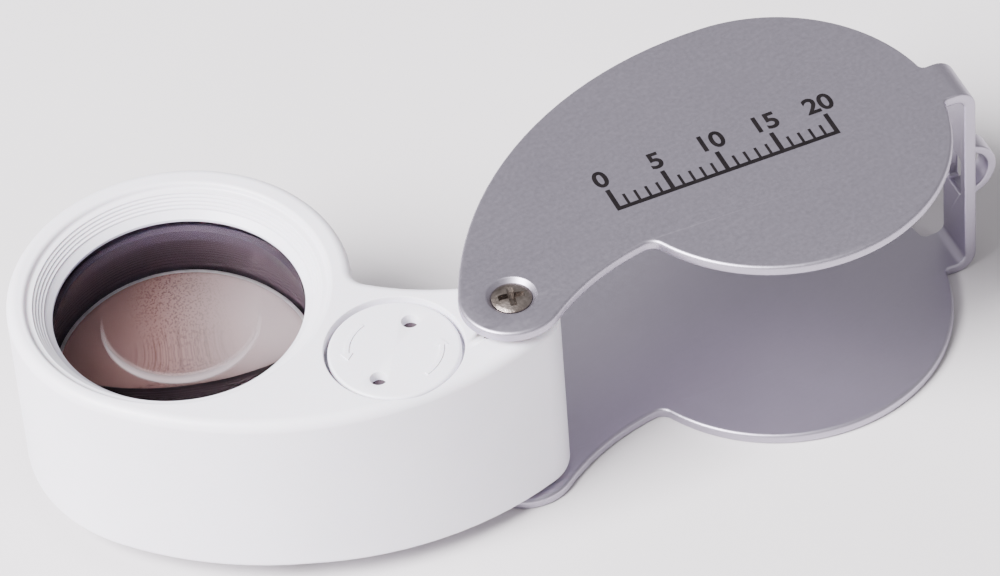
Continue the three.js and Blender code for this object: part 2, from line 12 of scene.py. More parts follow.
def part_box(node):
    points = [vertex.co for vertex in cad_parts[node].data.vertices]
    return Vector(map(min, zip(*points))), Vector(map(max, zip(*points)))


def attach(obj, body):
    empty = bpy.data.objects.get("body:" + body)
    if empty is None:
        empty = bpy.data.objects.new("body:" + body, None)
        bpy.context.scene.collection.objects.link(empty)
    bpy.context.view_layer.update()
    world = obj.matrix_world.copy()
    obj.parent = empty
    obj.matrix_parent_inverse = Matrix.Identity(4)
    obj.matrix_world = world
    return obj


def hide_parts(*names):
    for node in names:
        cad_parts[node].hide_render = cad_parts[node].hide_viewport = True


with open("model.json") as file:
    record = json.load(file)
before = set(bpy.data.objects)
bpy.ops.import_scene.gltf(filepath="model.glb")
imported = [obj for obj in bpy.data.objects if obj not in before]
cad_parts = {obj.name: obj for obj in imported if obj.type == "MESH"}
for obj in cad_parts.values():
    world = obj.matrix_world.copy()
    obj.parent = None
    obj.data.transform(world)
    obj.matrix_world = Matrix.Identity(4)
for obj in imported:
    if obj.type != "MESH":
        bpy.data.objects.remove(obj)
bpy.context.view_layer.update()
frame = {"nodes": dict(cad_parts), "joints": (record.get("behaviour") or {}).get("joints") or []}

# ---------- measures, in millimetres, in the cover's or the body's own frame ----------

MM = 0.001
COVER = dict(head_x=27.6, head_r=15.05, tail_r=4.4, back_r=32.6, waist_r=22.0, waist_y=2.45, corner_r=1.2)
BODY = dict(head_x=27.85, head_r=14.35, tail_r=3.85, back_r=32.15, waist_r=22.4, waist_y=2.1, corner_r=1.5)
COVER_H = 21.2
SHEET_T = 1.05
WEB_ANGLE = math.radians(-14.8)
WEB = dict(half=2.2, outer=17.85, bend_r=1.9, root_r=0.5)
BODY_TOP = 19.475
BODY_BASE = 2.4
PLATE_Z = 1.725
WALL = 1.3
FINE = 128
MEDIUM = 64

joints = {joint["name"]: joint for joint in frame["joints"]}
PIVOT = Vector(joints["body_swing"]["pos_m"]) / MM
OPEN_ANGLE = -math.radians(joints["body_swing"]["range_deg"][0])
COVER_PLACE = Matrix.Translation((PIVOT.x, PIVOT.y, 0))
BODY_PLACE = COVER_PLACE @ Matrix.Rotation(OPEN_ANGLE, 4, "Z")


def body_centre(node):
    """Axis of a round node, as (x, y) in the body's own frame."""
    low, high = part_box(node)
    point = BODY_PLACE.inverted() @ ((low + high) / (2 * MM))
    return point.x, point.y


LENS_AT = body_centre("eye_lens")
CAP_AT = body_centre("battery_cap")

# Level directions away from and across the camera's view. The painted crescent reflection, the patch of
# painted light and the specks in the lens lie along them.
FAR, ASIDE = Vector((0.569, 0.822, 0)), Vector((0.822, -0.569, 0))

# ---------- curves ----------


def arc(x, y, r, start, end, turn, step=math.radians(3)):
    """Points (x, y) and outward normals of an arc, without its last point."""
    full = 2 * math.pi
    sweep = ((end - start) * turn) % full
    count = max(3, math.ceil(sweep / step))
    found = []
    for i in range(count):
        angle = start + turn * sweep * i / count
        c, s = math.cos(angle), math.sin(angle)
        found.append((Vector((x + r * c, y + r * s)), Vector((c, s)) * turn))
    return found


def outline_arcs(head_x, head_r, tail_r, back_r, waist_r, waist_y, corner_r):
    """The five tangent arcs of a teardrop outline, each (x, y, r, start, end, turn)."""
    to_tail, to_head = back_r - tail_r, back_r - head_r
    back_x = (to_tail**2 - to_head**2 + head_x**2) / (2 * head_x)
    back_y = -math.sqrt(to_tail**2 - back_x**2)
    waist_cy = -(waist_y + waist_r)
    waist_cx = math.sqrt((tail_r + waist_r) ** 2 - waist_cy**2)
    from_waist, from_head = waist_r - corner_r, head_r + corner_r
    dx, dy = head_x - waist_cx, -waist_cy
    span = math.hypot(dx, dy)
    along = (from_waist**2 - from_head**2 + span**2) / (2 * span)
    across = math.sqrt(from_waist**2 - along**2)
    corner_x = waist_cx + (along * dx - across * dy) / span
    corner_y = waist_cy + (along * dy + across * dx) / span
    tail_start = math.atan2(waist_cy, waist_cx)
    corner_start = math.atan2(corner_y - waist_cy, corner_x - waist_cx)
    head_start = math.atan2(corner_y, corner_x - head_x)
    back_start = math.atan2(-back_y, head_x - back_x)
    back_end = math.atan2(-back_y, -back_x)
    return dict(
        waist=(waist_cx, waist_cy, waist_r, tail_start + math.pi, corner_start, -1),
        corner=(corner_x, corner_y, corner_r, corner_start, head_start + math.pi, -1),
        head=(head_x, 0, head_r, head_start, back_start, 1),
        back=(back_x, back_y, back_r, back_start, back_end, 1),
        tail=(0, 0, tail_r, back_end, tail_start, 1),
    )


def outline(params):
    """Points and outward normals all round a teardrop outline."""
    found = []
    for part in outline_arcs(**params).values():
        found += arc(*part)
    return found


def rounded(corners, steps=6):
    """A profile whose corners (a, b, radius) are replaced by arcs."""
    found = []
    for i, (a, b, radius) in enumerate(corners):
        here = Vector((a, b))
        if radius <= 0 or i in (0, len(corners) - 1):
            found.append(here)
            continue
        before = (Vector(corners[i - 1][:2]) - here).normalized()
        after = (Vector(corners[i + 1][:2]) - here).normalized()
        half = before.angle(after) / 2
        reach = radius / math.tan(half)
        middle = here + (before + after).normalized() * (radius / math.sin(half))
        first, last = here + before * reach - middle, here + after * reach - middle
        sweep = first.angle_signed(last)
        for k in range(steps + 1):
            found.append(middle + Matrix.Rotation(-sweep * k / steps, 2) @ first)
    return found


# ---------- meshes ----------


def new_object(name, bm, place):
    """An object from a bmesh in millimetres, put in place in the part's frame."""
    bm.transform(Matrix.Scale(MM, 4) @ place)
    bmesh.ops.recalc_face_normals(bm, faces=bm.faces)
    mesh = bpy.data.meshes.new(name)
    bm.to_mesh(mesh)
    bm.free()
    piece = bpy.data.objects.new(name, mesh)
    bpy.context.scene.collection.objects.link(piece)
    return piece


def lathe(name, profile, at=(0, 0), segments=FINE, place=BODY_PLACE, closed=False):
    """A turned piece: profile points are (radius, height)."""
    bm = bmesh.new()
    rings = []
    for r, z in profile:
        if r < 1e-6:
            rings.append([bm.verts.new((at[0], at[1], z))])
            continue
        ring = []
        for i in range(segments):
            angle = 2 * math.pi * i / segments
            ring.append(bm.verts.new((at[0] + r * math.cos(angle), at[1] + r * math.sin(angle), z)))
        rings.append(ring)
    pairs = list(zip(rings, rings[1:]))
    if closed:
        pairs.append((rings[-1], rings[0]))
    for low, high in pairs:
        for i in range(segments):
            j = (i + 1) % segments
            corners = [low[i % len(low)], low[j % len(low)], high[j % len(high)], high[i % len(high)]]
            unique = list(dict.fromkeys(corners))
            if len(unique) > 2:
                bm.faces.new(unique)
    return new_object(name, bm, place)


def loft(name, contour, rings, place=BODY_PLACE):
    """A closed piece from a contour: each ring is (inset, height)."""
    bm = bmesh.new()
    made = [[bm.verts.new((*(p - n * inset), z)) for p, n in contour] for inset, z in rings]
    count = len(contour)
    for low, high in zip(made, made[1:]):
        for i in range(count):
            j = (i + 1) % count
            bm.faces.new((low[i], low[j], high[j], high[i]))
    bm.faces.new(made[0])
    bm.faces.new(made[-1])
    return new_object(name, bm, place)


def block(name, size, at, place=BODY_PLACE):
    """A box, used to cut with or as a plain strip."""
    bm = bmesh.new()
    bmesh.ops.create_cube(bm, size=1)
    bmesh.ops.scale(bm, vec=size, verts=bm.verts)
    bmesh.ops.translate(bm, vec=at, verts=bm.verts)
    return new_object(name, bm, place)


def carve(piece, tools, operation="DIFFERENCE"):
    """Cuts the tools out of a piece, or joins them to it, and removes them."""
    for tool in tools:
        modifier = piece.modifiers.new("carve", "BOOLEAN")
        modifier.object = tool
        modifier.operation = operation
        modifier.solver = "EXACT"
    bpy.context.view_layer.update()
    evaluated = piece.evaluated_get(bpy.context.evaluated_depsgraph_get())
    mesh = bpy.data.meshes.new_from_object(evaluated)
    piece.modifiers.clear()
    piece.data = mesh
    for tool in tools:
        bpy.data.objects.remove(tool)
    return piece


def finish_piece(piece, body, materials, replaced=(), sharp=32):
    """Smooth shading, materials, and the body and nodes that the piece stands for."""
    mesh = piece.data
    mesh.shade_smooth()
    mesh.set_sharp_from_angle(angle=math.radians(sharp))
    mesh.materials.clear()
    for material in materials if isinstance(materials, (list, tuple)) else [materials]:
        mesh.materials.append(material)
    weights = piece.modifiers.new("even_normals", "WEIGHTED_NORMAL")
    weights.keep_sharp = True
    weights.mode = "FACE_AREA"
    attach(piece, body)
    if replaced:
        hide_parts(*replaced)
    return piece


# ---------- materials ----------


class Paint:
    """A Principled material and short calls for its procedural nodes."""

    def __init__(self, name, **values):
        self.material = bpy.data.materials.new(name)
        self.material.use_nodes = True
        self.nodes = self.material.node_tree.nodes
        self.links = self.material.node_tree.links
        self.shader = self.nodes["Principled BSDF"]
        for socket, value in values.items():
            self.shader.inputs[socket.replace("_", " ")].default_value = value
        self.coords = self.nodes.new("ShaderNodeTexCoord").outputs["Object"]

    def stretched(self, scale, turn=0.0):
        mapping = self.nodes.new("ShaderNodeMapping")
        mapping.inputs["Scale"].default_value = scale
        mapping.inputs["Rotation"].default_value = (0, 0, turn)
        self.links.new(self.coords, mapping.inputs["Vector"])
        return mapping.outputs["Vector"]

    def noise(self, scale, detail=3.0, roughness=0.5, vector=None):
        node = self.nodes.new("ShaderNodeTexNoise")
        node.inputs["Scale"].default_value = scale
        node.inputs["Detail"].default_value = detail
        node.inputs["Roughness"].default_value = roughness
        self.links.new(vector or self.coords, node.inputs["Vector"])
        return node.outputs["Fac"]

    def ramp(self, value, stops):
        node = self.nodes.new("ShaderNodeValToRGB")
        ramp = node.color_ramp
        for i, (at, color) in enumerate(stops):
            stop = ramp.elements[i] if i < 2 else ramp.elements.new(at)
            stop.position = at
            stop.color = color if len(color) == 4 else (*color, 1)
        self.links.new(value, node.inputs["Fac"])
        return node.outputs["Color"]

    def polar(self, at):
        """Direction from a body axis, and distance from it in metres."""
        centre = BODY_PLACE @ Vector((*at, 0)) * MM
        shift = self.nodes.new("ShaderNodeMapping")
        shift.inputs["Location"].default_value = (-centre.x, -centre.y, 0)
        self.links.new(self.coords, shift.inputs["Vector"])
        flat = self.nodes.new("ShaderNodeVectorMath")
        flat.operation = "MULTIPLY"
        flat.inputs[1].default_value = (1, 1, 0)
        self.links.new(shift.outputs["Vector"], flat.inputs[0])
        length = self.nodes.new("ShaderNodeVectorMath")
        length.operation = "LENGTH"
        self.links.new(flat.outputs["Vector"], length.inputs[0])
        unit = self.nodes.new("ShaderNodeVectorMath")
        unit.operation = "NORMALIZE"
        self.links.new(flat.outputs["Vector"], unit.inputs[0])
        return unit.outputs["Vector"], length.outputs["Value"]

    def distance(self, point):
        """Level distance in metres from a point given in the part's frame."""
        node = self.nodes.new("ShaderNodeVectorMath")
        node.operation = "DISTANCE"
        self.links.new(self.stretched((1, 1, 0)), node.inputs[0])
        node.inputs[1].default_value = (point.x, point.y, 0)
        return node.outputs["Value"]

    def mix(self, share, first, second):
        node = self.nodes.new("ShaderNodeMix")
        node.data_type = "RGBA"
        self.links.new(share, node.inputs[0])
        self.links.new(first, node.inputs[6])
        node.inputs[7].default_value = (*second, 1)
        return node.outputs[2]

    def spread(self, value, low, high, from_low=0.3, from_high=0.7):
        node = self.nodes.new("ShaderNodeMapRange")
        sockets = ("From Min", "From Max", "To Min", "To Max")
        for socket, number in zip(sockets, (from_low, from_high, low, high)):
            node.inputs[socket].default_value = number
        self.links.new(value, node.inputs["Value"])
        return node.outputs["Result"]

    def maths(self, operation, first, second):
        node = self.nodes.new("ShaderNodeMath")
        node.operation = operation
        for socket, value in zip(node.inputs, (first, second)):
            if isinstance(value, (int, float)):
                socket.default_value = value
            else:
                self.links.new(value, socket)
        return node.outputs["Value"]

    def set(self, socket, value):
        self.links.new(value, self.shader.inputs[socket])

    def bump(self, height, distance, strength=1.0):
        node = self.nodes.new("ShaderNodeBump")
        node.inputs["Distance"].default_value = distance
        node.inputs["Strength"].default_value = strength
        self.links.new(height, node.inputs["Height"])
        self.links.new(node.outputs["Normal"], self.shader.inputs["Normal"])


def satin_sheet():
    paint = Paint("satin_sheet", Metallic=1.0)
    broad = paint.noise(90, 4, 0.6)
    grain = paint.noise(2600, 3, 0.6)
    rolled = paint.noise(60, 5, 0.6, paint.stretched((6, 90, 90), math.radians(20)))
    tone = paint.maths("ADD", paint.maths("MULTIPLY", broad, 0.6), paint.maths("MULTIPLY", rolled, 0.4))
    paint.set("Base Color", paint.ramp(tone, [(0.3, (0.425, 0.395, 0.470)), (0.7, (0.450, 0.420, 0.495))]))
    rough = paint.maths("ADD", paint.spread(rolled, 0.0, 0.015), paint.spread(grain, 0.40, 0.46))
    paint.set("Roughness", rough)
    paint.bump(grain, 0.000005)
    return paint.material


def burnished_edge():
    paint = Paint("burnished_edge", Metallic=0.95)
    grain = paint.noise(2600, 4, 0.75)
    drag = paint.noise(900, 4, 0.7, paint.stretched((1, 1, 0.15)))
    paint.set("Base Color", paint.ramp(grain, [(0.35, (0.20, 0.18, 0.20)), (0.65, (0.46, 0.43, 0.48))]))
    paint.set("Roughness", paint.spread(drag, 0.24, 0.5))
    paint.bump(grain, 0.00007)
    return paint.material


def white_plastic():
    paint = Paint("white_plastic", Subsurface_Weight=0.06, Subsurface_Scale=0.002, IOR=1.5)
    cloud = paint.noise(140, 4, 0.5)
    grain = paint.noise(3000, 2, 0.5)
    paint.set("Base Color", paint.ramp(cloud, [(0.35, (0.82, 0.80, 0.87)), (0.65, (0.85, 0.83, 0.90))]))
    paint.set("Roughness", paint.spread(grain, 0.36, 0.46))
    paint.bump(grain, 0.000006)
    return paint.material


def dark_tube():
    paint = Paint("dark_tube", Specular_IOR_Level=0.5)
    cloud = paint.noise(260, 4, 0.6)
    paint.set("Base Color", paint.ramp(cloud, [(0.3, (0.022, 0.012, 0.018)), (0.7, (0.048, 0.029, 0.040))]))
    paint.set("Roughness", paint.spread(cloud, 0.45, 0.6))
    paint.bump(paint.noise(1500, 3, 0.6), 0.000003)
    return paint.material


def coated_glass(name, crescent):
    """Lens glass with a purple coating, which mirrors little; one face bears a pale crescent of painted
    reflection.
    """
    paint = Paint(name)
    nodes, links = paint.nodes, paint.links
    nodes.remove(paint.shader)
    bend = nodes.new("ShaderNodeBsdfRefraction")
    bend.inputs["Color"].default_value = (0.985, 0.975, 0.98, 1)
    bend.inputs["Roughness"].default_value = 0
    bend.inputs["IOR"].default_value = 1.5
    mirror = nodes.new("ShaderNodeBsdfGlossy")
    mirror.inputs["Color"].default_value = (0.80, 0.68, 1.0, 1)
    mirror.inputs["Roughness"].default_value = 0.02
    fresnel = nodes.new("ShaderNodeFresnel")
    fresnel.inputs["IOR"].default_value = 1.16
    surface = nodes.new("ShaderNodeMixShader")
    links.new(fresnel.outputs["Fac"], surface.inputs[0])
    links.new(bend.outputs["BSDF"], surface.inputs[1])
    links.new(mirror.outputs["BSDF"], surface.inputs[2])
    # The crescent is a painted reflection: a pale diffuse band on the near side of the lens's lower face.
    if crescent:
        centre = BODY_PLACE @ Vector((*LENS_AT, 0))
        inside = paint.spread(paint.distance(centre * MM), 0.58, 0.0, 0.00608, 0.00632)
        beyond = paint.spread(paint.distance((centre + FAR * 1.0) * MM), 0.0, 1.0, 0.0060, 0.0068)
        painted_crescent = nodes.new("ShaderNodeBsdfDiffuse")
        painted_crescent.inputs["Color"].default_value = (0.92, 0.83, 0.86, 1)
        clear, surface = surface, nodes.new("ShaderNodeMixShader")
        links.new(paint.maths("MULTIPLY", inside, beyond), surface.inputs[0])
        links.new(clear.outputs["Shader"], surface.inputs[1])
        links.new(painted_crescent.outputs["BSDF"], surface.inputs[2])
    links.new(surface.outputs["Shader"], nodes["Material Output"].inputs["Surface"])
    return paint.material


def clear_glass():
    paint = Paint("clear_glass", Transmission_Weight=1.0, IOR=1.5, Base_Color=(0.98, 0.975, 0.97, 1))
    smear = paint.noise(120, 4, 0.6)
    paint.set("Roughness", paint.spread(smear, 0.0, 0.012, 0.5, 0.8))
    return paint.material


def dusty_glass():
    """The lower lens: clear under a thin brown film of painted shade, standing for the dim view beneath it,
    with specks in the middle, streaks round them and a patch of painted light.
    """
    paint = Paint("dusty_glass", Transmission_Weight=0.45, IOR=1.5, Roughness=0.1)
    from_axis, radius = paint.polar(LENS_AT)
    centre = BODY_PLACE @ Vector((*LENS_AT, 0))
    middle = paint.spread(paint.distance((centre + FAR * 8.8 - ASIDE * 0.4) * MM), 1.0, 0.0, 0.0012, 0.0034)
    specks = paint.spread(paint.noise(8500, 2, 0.6), 1.0, 0.0, 0.40, 0.50)
    streaks = paint.spread(paint.noise(55, 3, 0.6, from_axis), 0.6, 0.0, 0.40, 0.54)
    outside = paint.spread(radius, 0.0, 1.0, 0.0056, 0.0062)
    band = paint.maths("MULTIPLY", outside, paint.spread(radius, 1.0, 0.0, 0.0069, 0.0076))
    specks_there = paint.maths("MULTIPLY", specks, middle)
    marks = paint.maths("ADD", specks_there, paint.maths("MULTIPLY", streaks, band))
    cloud = paint.maths("MULTIPLY", paint.noise(260, 3, 0.5), 0.35)
    tone = paint.maths("ADD", paint.maths("MULTIPLY", marks, 0.38), cloud)
    # The brown film is painted shade: it stands for the dim view beneath the lens.
    film = paint.ramp(tone, [(0.1, (0.74, 0.45, 0.41)), (0.6, (0.24, 0.11, 0.09))])
    # Painted light: a pale pink patch toward one side, where light through the eye lens would brighten the
    # view beneath.
    painted_light_patch = paint.spread(paint.distance((centre + FAR * 8.3 + ASIDE * 6.5) * MM), 0.9, 0.0, 0.0028, 0.0085)
    paint.set("Base Color", paint.mix(painted_light_patch, film, (1.0, 0.87, 0.87)))
    return paint.material


def blackened_edge():
    """Lacquer on the ground edge of the eye lens."""
    paint = Paint("blackened_edge", Roughness=0.6, Specular_IOR_Level=0.1)
    cloud = paint.noise(500, 4, 0.6, paint.stretched((1, 1, 6)))
    paint.set("Base Color", paint.ramp(cloud, [(0.3, (0.030, 0.018, 0.024)), (0.7, (0.075, 0.050, 0.062))]))
    return paint.material


def ground_glass():
    paint = Paint("ground_glass", Transmission_Weight=0.2, IOR=1.5)
    grain = paint.noise(3000, 3, 0.6)
    paint.set("Base Color", paint.ramp(grain, [(0.3, (0.90, 0.88, 0.90)), (0.7, (0.97, 0.95, 0.97))]))
    paint.set("Roughness", paint.spread(grain, 0.4, 0.6))
    return paint.material


def screw_metal():
    paint = Paint("screw_metal", Metallic=1.0)
    grain = paint.noise(1800, 4, 0.7)
    stain = paint.noise(700, 3, 0.6)
    paint.set("Base Color", paint.ramp(stain, [(0.3, (0.13, 0.105, 0.09)), (0.7, (0.34, 0.295, 0.27))]))
    paint.set("Roughness", paint.spread(grain, 0.28, 0.46))
    paint.bump(grain, 0.00006)
    return paint.material


def plain_metal(name, dark, light, low, high):
    paint = Paint(name, Metallic=1.0)
    grain = paint.noise(1600, 4, 0.6)
    paint.set("Base Color", paint.ramp(grain, [(0.3, dark), (0.7, light)]))
    paint.set("Roughness", paint.spread(grain, low, high))
    paint.bump(grain, 0.00001)
    return paint.material


def plain_plastic(name, dark, light, low, high, bump=0.00001):
    paint = Paint(name)
    grain = paint.noise(1200, 4, 0.6)
    paint.set("Base Color", paint.ramp(grain, [(0.3, dark), (0.7, light)]))
    paint.set("Roughness", paint.spread(grain, low, high))
    paint.bump(grain, bump)
    return paint.material


SHEET = satin_sheet()
EDGE = burnished_edge()
WHITE = white_plastic()
DARK = dark_tube()
GLASS = coated_glass("coated_glass", False)
# Glass for the eye lens's lower face, bearing a pale crescent of painted reflection.
PAINTED_CRESCENT_GLASS = coated_glass("painted_crescent_glass", True)
# The field lens's film: specks and a brown tone of painted shade, with a patch of painted light.
DUST_AND_SHADE = dusty_glass()
BLACKENED = blackened_edge()
GROUND = ground_glass()
SCREW = screw_metal()
BRASS = plain_metal("turned_brass", (0.52, 0.36, 0.14), (0.72, 0.54, 0.25), 0.22, 0.4)
NICKEL = plain_metal("nickel_plate", (0.55, 0.54, 0.52), (0.72, 0.71, 0.69), 0.18, 0.32)
NYLON = plain_plastic("natural_nylon", (0.70, 0.68, 0.62), (0.78, 0.76, 0.71), 0.4, 0.55)
INK = plain_plastic("black_ink", (0.003, 0.002, 0.003), (0.007, 0.005, 0.006), 0.5, 0.62, 0.000004)
INK.node_tree.nodes["Principled BSDF"].inputs["Specular IOR Level"].default_value = 0.2
BOARD = plain_plastic("board_lacquer", (0.02, 0.16, 0.06), (0.04, 0.24, 0.10), 0.25, 0.4)
WIRE_RED = plain_plastic("wire_red", (0.40, 0.02, 0.02), (0.52, 0.04, 0.03), 0.35, 0.5)
WIRE_BLACK = plain_plastic("wire_black", (0.012, 0.012, 0.012), (0.03, 0.03, 0.03), 0.35, 0.5)

# ---------- cover ----------

EDGE_RINGS = [(0.30, 0.0), (0.19, 0.025), (0.09, 0.09), (0.025, 0.19), (0.0, 0.30)]


def edge_rings(thickness):
    """(inset, depth) from the outer skin round a sheet's edge to its inner skin."""
    return EDGE_RINGS + [(inset, thickness - depth) for inset, depth in reversed(EDGE_RINGS)]


def edge_scale(point):
    """How round a plate's edge is at a point in the web's frame: burnished, but crisp near the web."""
    along = (WEB["outer"] - WEB["bend_r"] - point.x) / 2.5
    return 0.45 + 0.55 * min(1, max(0, along))


def plate_chain():
    """Contour of the top plate in the web's frame, from one side of the web round to the other.

    Each entry is (point, normal), measured from the head's centre with x along the web's direction.
    """
    arcs = outline_arcs(**COVER)
    reach = math.sqrt((COVER["head_r"] + WEB["root_r"]) ** 2 - (WEB["half"] + WEB["root_r"]) ** 2)
    side = WEB["half"] + WEB["root_r"]
    touch = math.atan2(side, reach)
    hx, hy, hr, head_start, back_start, _ = arcs["head"]
    loop = arc(hx, hy, hr, WEB_ANGLE + touch, back_start, 1)
    for name in ("back", "tail", "waist", "corner"):
        loop += arc(*arcs[name])
    loop += arc(hx, hy, hr, head_start, WEB_ANGLE - touch, 1)
    turn = Matrix.Rotation(-WEB_ANGLE, 2)
    centre = Vector((COVER["head_x"], 0))
    loop = [(turn @ (p - centre), turn @ n) for p, n in loop]
    bend = WEB["outer"] - WEB["bend_r"]
    step = math.radians(9)
    last = arc(reach, side, WEB["root_r"], -math.pi / 2, math.pi + touch, -1, step)
    first = arc(reach, -side, WEB["root_r"], math.pi - touch, math.pi / 2, -1, step)
    up, down = Vector((0, 1)), Vector((0, -1))
    start = [(Vector((bend, WEB["half"])), up)]
    end = [(Vector((reach, -WEB["half"])), down), (Vector((bend, -WEB["half"])), down)]
    return start + last + loop + first + end


def bend_stations():
    """Places along the web from the top plate to the lower one: functions from depth to (u, z)."""
    steps = 8
    bend_u, r = WEB["outer"] - WEB["bend_r"], WEB["bend_r"]

    def on_arc(angle, centre_z, sign):
        across, up = math.sin(angle), sign * math.cos(angle)
        return lambda depth: (bend_u + (r - depth) * across, centre_z + (r - depth) * up)

    top = [on_arc(math.pi / 2 * i / steps, COVER_H - r, 1) for i in range(1, steps + 1)]
    low = [on_arc(math.pi / 2 * i / steps, r, -1) for i in range(steps, 0, -1)]
    return top, low


def round_rectangle(half_x, half_y, r, at=(0, 0), step=math.radians(18)):
    """Points and outward normals round a rectangle with round corners."""
    found = []
    for quarter, (sx, sy) in enumerate(((1, 1), (-1, 1), (-1, -1), (1, -1))):
        start, end = quarter * math.pi / 2, (quarter + 1) * math.pi / 2
        x, y = at[0] + sx * (half_x - r), at[1] + sy * (half_y - r)
        found += arc(x, y, r, start, end, 1, step)
        normal = Vector((math.cos(end), math.sin(end)))
        found.append((Vector((x, y)) + normal * r, normal))
    return found


def window_loop():
    """Points and normals round the window in the web, as (v, z)."""
    return round_rectangle(1.25, 2.15, 0.4, (0, 10.4))


def fill(bm, loops, material=0):
    """Flat faces between an outer loop of vertices and the loops of its holes."""
    points = [[v.co.copy() for v in loop] for loop in loops]
    flat = [v for loop in loops for v in loop]
    for a, b, c in tessellate_polygon(points):
        if len({a, b, c}) == 3:
            face = bm.faces.new((flat[a], flat[b], flat[c]))
            face.material_index = material


def bridge(bm, rings, material=1, closed=True):
    """Quads between neighbouring rings of vertices."""
    for low, high in zip(rings, rings[1:]):
        count = len(low)
        for i in range(count if closed else count - 1):
            j = (i + 1) % count
            face = bm.faces.new((low[i], low[j], high[j], high[i]))
            face.material_index = material


def cover_mesh():
    """The bent sheet: two plates, the web between them, its window and the countersinks."""
    bm = bmesh.new()
    chain = plate_chain()
    top_bend, low_bend = bend_stations()
    rings = edge_rings(SHEET_T)
    made = []
    for inset, depth in rings:
        ring = []
        half = WEB["half"] - inset * edge_scale(Vector((WEB["outer"], 0)))
        for p, n in chain:
            ring.append(bm.verts.new((*(p - n * inset * edge_scale(p)), COVER_H - depth)))
        for u, z in (place(depth) for place in top_bend + low_bend):
            ring.append(bm.verts.new((u, -half, z)))
        for p, n in reversed(chain):
            ring.append(bm.verts.new((*(p - n * inset * edge_scale(p)), depth)))
        for u, z in (place(depth) for place in reversed(top_bend + low_bend)):
            ring.append(bm.verts.new((u, half, z)))
        made.append(ring)
    bridge(bm, made)

    turn = Matrix.Rotation(-WEB_ANGLE, 2)
    pivot_at = turn @ Vector((-COVER["head_x"], 0))
    sink = [(2.19, 0.0), (2.11, 0.02), (2.05, 0.08), (1.35, 0.76)]
    sink += [(1.35, 0.93), (1.38, 1.01), (1.45, SHEET_T)]
    count = len(chain)
    bends = len(top_bend) + len(low_bend)
    holes = {}
    for face, sign in ((COVER_H, -1), (0, 1)):
        hole = []
        for r, depth in sink:
            ring = []
            for i in range(MEDIUM):
                angle = 2 * math.pi * i / MEDIUM
                x, y = pivot_at.x + r * math.cos(angle), pivot_at.y + r * math.sin(angle)
                ring.append(bm.verts.new((x, y, face + sign * depth)))
            hole.append(ring)
        bridge(bm, hole)
        holes[sign] = hole
    window = []
    for inset, depth in rings:
        u = WEB["outer"] - depth
        window.append([bm.verts.new((u, *(p + n * inset * 0.4))) for p, n in window_loop()])
    bridge(bm, window)

    for skin in (0, -1):
        ring = made[skin]
        side_a = ring[count - 1 : count + bends + 1]
        side_b = [ring[0]] + list(reversed(ring[2 * count + bends :])) + [ring[2 * count + bends - 1]]
        steps = len(top_bend)
        for i in [*range(steps), *range(steps + 1, len(side_a) - 1)]:
            bm.faces.new((side_a[i], side_a[i + 1], side_b[i + 1], side_b[i]))
        fill(bm, [ring[:count], holes[-1][skin]])
        fill(bm, [ring[count + bends : 2 * count + bends], holes[1][skin]])
        web = side_a[steps : steps + 2] + side_b[steps + 1 : steps - 1 : -1]
        fill(bm, [web, window[skin]])
    return bm


def lug_mesh():
    """The strip pressed out of the web, a bow with its feet in the sheet."""
    outer_r, thick, half, centre_u, centre_z = 2.93, 0.8, 1.0, WEB["outer"] - 0.43, 10.4
    edge = 0.16
    foot = math.acos((0.43 - 0.8) / outer_r)
    section = [(p.x, p.y) for p, _ in round_rectangle(thick / 2, half, edge)]
    bm = bmesh.new()
    rings = []
    steps = 28
    for k in range(steps + 1):
        angle = -foot + 2 * foot * k / steps
        ring = []
        for across, v in section:
            r = outer_r - thick / 2 + across
            ring.append(bm.verts.new((centre_u + r * math.cos(angle), v, centre_z + r * math.sin(angle))))
        rings.append(ring)
    bridge(bm, rings, 1)
    bm.faces.new(rings[0])
    bm.faces.new(rings[-1])
    return bm


WEB_PLACE = COVER_PLACE @ Matrix.Translation((COVER["head_x"], 0, 0)) @ Matrix.Rotation(WEB_ANGLE, 4, "Z")


def build_cover():
    cover = new_object("cover_sheet", cover_mesh(), WEB_PLACE)
    lug = new_object("cover_lug", lug_mesh(), WEB_PLACE)
    for piece in (cover, lug):
        piece.data.materials.append(SHEET)
        piece.data.materials.append(EDGE)
    carve(cover, [lug], "UNION")
    finish_piece(cover, "cover", [SHEET, EDGE], ["folding_cover"])


# ---------- lens body ----------


def fillet_rings(radius, height, side, steps=7):
    """Rings of a rounded edge: side +1 for a top edge, listed upwards in both cases."""
    found = []
    for k in range(steps + 1):
        angle = math.pi / 2 * k / steps
        found.append((radius * (1 - math.cos(angle)), height - side * radius * (1 - math.sin(angle))))
    return found if side > 0 else found[::-1]


def rod(r, low, high, at, segments=MEDIUM):
    return lathe("tool", [(0, low), (r, low), (r, high), (0, high)], at, segments)


def mouth_profile():
    """Bore for the barrel, lip round the lens, slope, fine steps and the round top edge."""
    corners = [(0, 0, 0), (12.3, 0, 0), (12.3, 17.05, 0), (10.5, 17.05, 0), (10.5, 17.3, 0.08)]
    run, rise = 0.22, 0.23
    for i in range(5):
        r, z = 11.1 + i * run, 17.85 + i * rise
        corners += [(r, z, 0.05), (r + 0.03, z + rise * 0.75, 0.05)]
    corners += [(12.5, 19.02, 0.3), (12.65, BODY_TOP, 0.4), (14.0, BODY_TOP + 0.001, 0)]
    corners += [(14.0, 22, 0), (0, 22, 0)]
    return [tuple(p) for p in rounded(corners, 5)]


SKIRT = dict(from_x=16.0, to_x=-3.85, drop=1.05)


def bring_skirt_down(piece):
    """Lowers the base edge towards the tail, as the part's own lower edge runs."""
    local = BODY_PLACE.inverted()
    for v in piece.data.vertices:
        point = local @ (v.co / MM)
        along = (SKIRT["from_x"] - point.x) / (SKIRT["from_x"] - SKIRT["to_x"])
        if point.z < BODY_BASE + 1:
            v.co.z -= SKIRT["drop"] * min(1, max(0, along)) * MM


